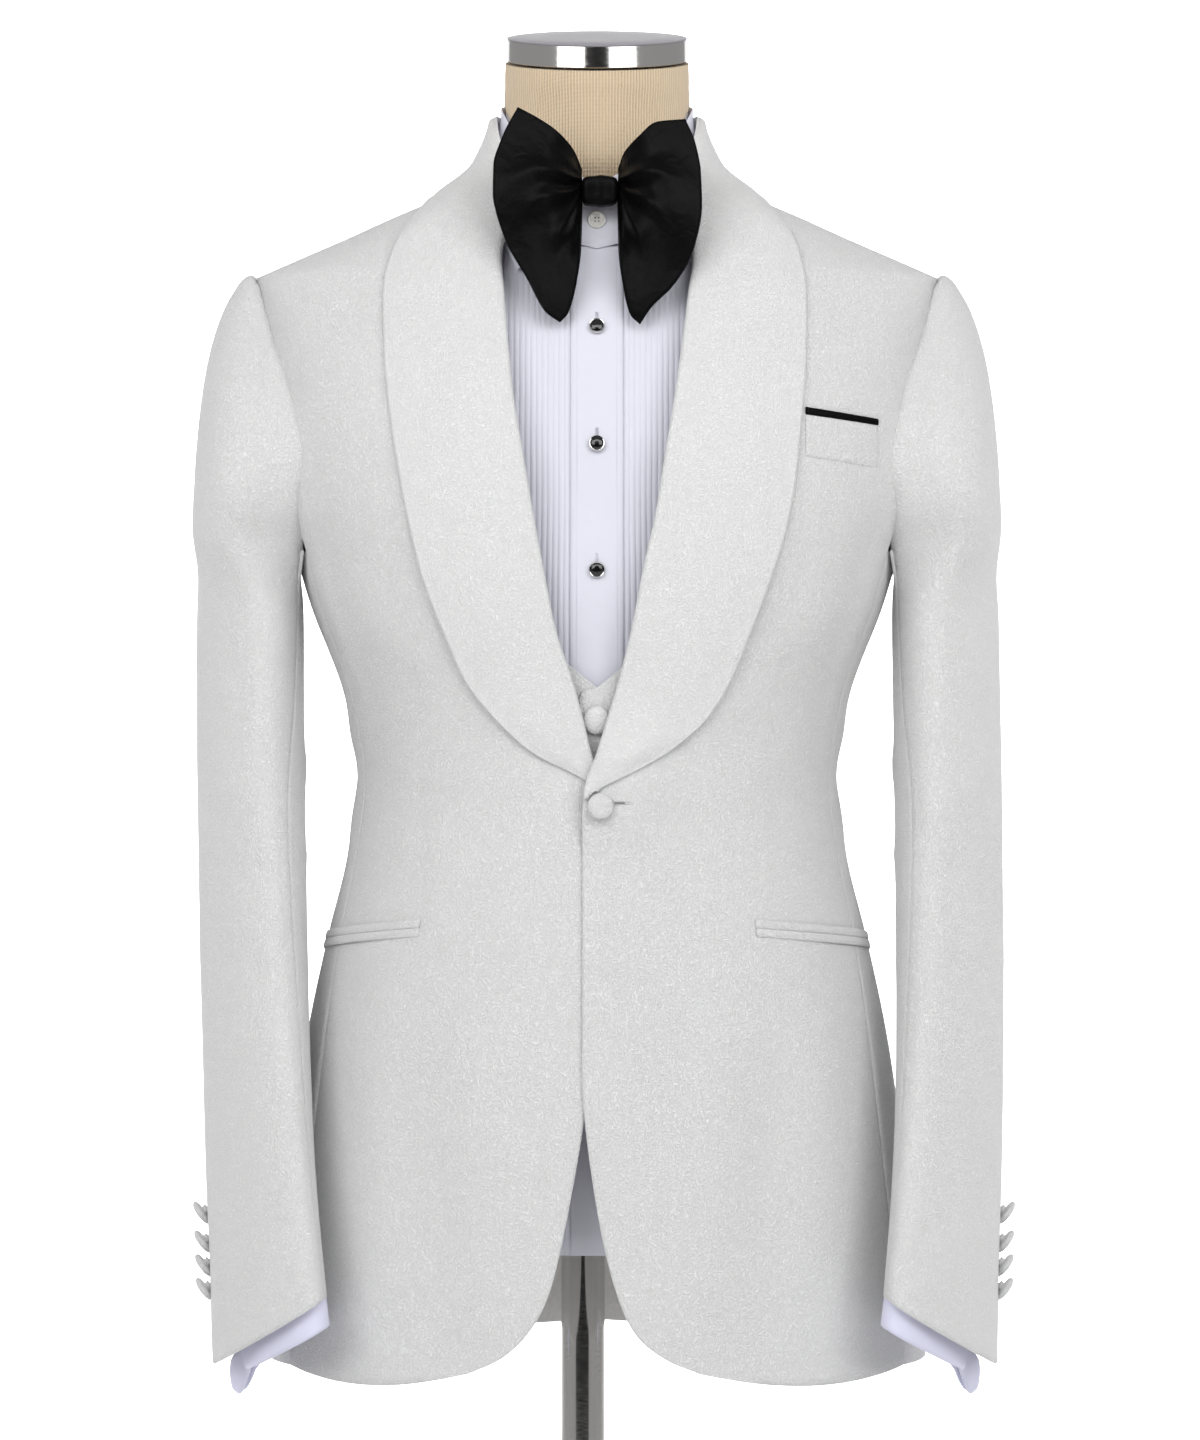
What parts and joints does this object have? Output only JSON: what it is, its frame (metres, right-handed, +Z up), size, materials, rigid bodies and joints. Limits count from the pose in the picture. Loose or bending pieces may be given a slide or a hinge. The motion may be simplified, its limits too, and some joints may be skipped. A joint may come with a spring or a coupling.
{
  "type": "tuxedo on a dress form",
  "caption": "White shawl-collar tuxedo jacket, waistcoat, pintucked dress shirt and black satin bow tie on a limbless dress form with a chrome pole.",
  "frame": {"origin": "centre of the base plate's underside, on the pole's axis", "axes": "+X towards the wearer's left, -Y out of the front, +Z up"},
  "size_m": [0.5149, 0.34, 1.6105],
  "materials": {
    "jacket_cloth": "white wool crepe, matte",
    "waistcoat_cloth": "white wool crepe, matte",
    "shirt_cloth": "lavender-white cotton, fine",
    "black_satin": "black silk satin",
    "knit_cover": "beige ribbed jersey over foam",
    "bright_steel": "polished chrome plate",
    "cap_grey": "matte grey paint",
    "stud_black": "black face, silver rim",
    "pearl": "pearl white"
  },
  "bodies": {
    "root": {"base_plate": "bright_steel", "bow_knot": "black_satin", "bow_strap": "black_satin", "bow_wing_left": "black_satin", "bow_wing_right": "black_satin", "chest_welt": "jacket_cloth", "collar_button": "pearl", "form_torso": "knit_cover", "hip_pocket_jet_lower_left": "jacket_cloth", "hip_pocket_jet_lower_right": "jacket_cloth", "hip_pocket_jet_upper_left": "jacket_cloth", "hip_pocket_jet_upper_right": "jacket_cloth", "jacket_back_left": "jacket_cloth", "jacket_back_right": "jacket_cloth", "jacket_button": "jacket_cloth", "jacket_front_left": "jacket_cloth", "jacket_front_right": "jacket_cloth", "jacket_shawl_left": "jacket_cloth", "jacket_shawl_right": "jacket_cloth", "jacket_side_left": "jacket_cloth", "jacket_side_right": "jacket_cloth", "jacket_under_sleeve_left": "jacket_cloth", "jacket_under_sleeve_right": "jacket_cloth", "jacket_upper_sleeve_left": "jacket_cloth", "jacket_upper_sleeve_right": "jacket_cloth", "neck_cap_band": "bright_steel", "neck_cap_top": "cap_grey", "pocket_square": "black_satin", "pole": "bright_steel", "shirt_back": "shirt_cloth", "shirt_collar_band": "shirt_cloth", "shirt_collar_leaf": "shirt_cloth", "shirt_cuff_left": "shirt_cloth", "shirt_cuff_right": "shirt_cloth", "shirt_front_left": "shirt_cloth", "shirt_front_right": "shirt_cloth", "shirt_placket": "shirt_cloth", "shirt_sleeve_left": "shirt_cloth", "shirt_sleeve_right": "shirt_cloth", "sleeve_button_left_1": "jacket_cloth", "sleeve_button_left_2": "jacket_cloth", "sleeve_button_left_3": "jacket_cloth", "sleeve_button_left_4": "jacket_cloth", "sleeve_button_right_1": "jacket_cloth", "sleeve_button_right_2": "jacket_cloth", "sleeve_button_right_3": "jacket_cloth", "sleeve_button_right_4": "jacket_cloth", "stud_1": "stud_black", "stud_2": "stud_black", "stud_3": "stud_black", "waistcoat_back": "waistcoat_cloth", "waistcoat_button_1": "jacket_cloth", "waistcoat_button_2": "jacket_cloth", "waistcoat_button_3": "jacket_cloth", "waistcoat_button_4": "jacket_cloth", "waistcoat_front_left": "waistcoat_cloth", "waistcoat_front_right": "waistcoat_cloth"}
  },
  "joints": []
}
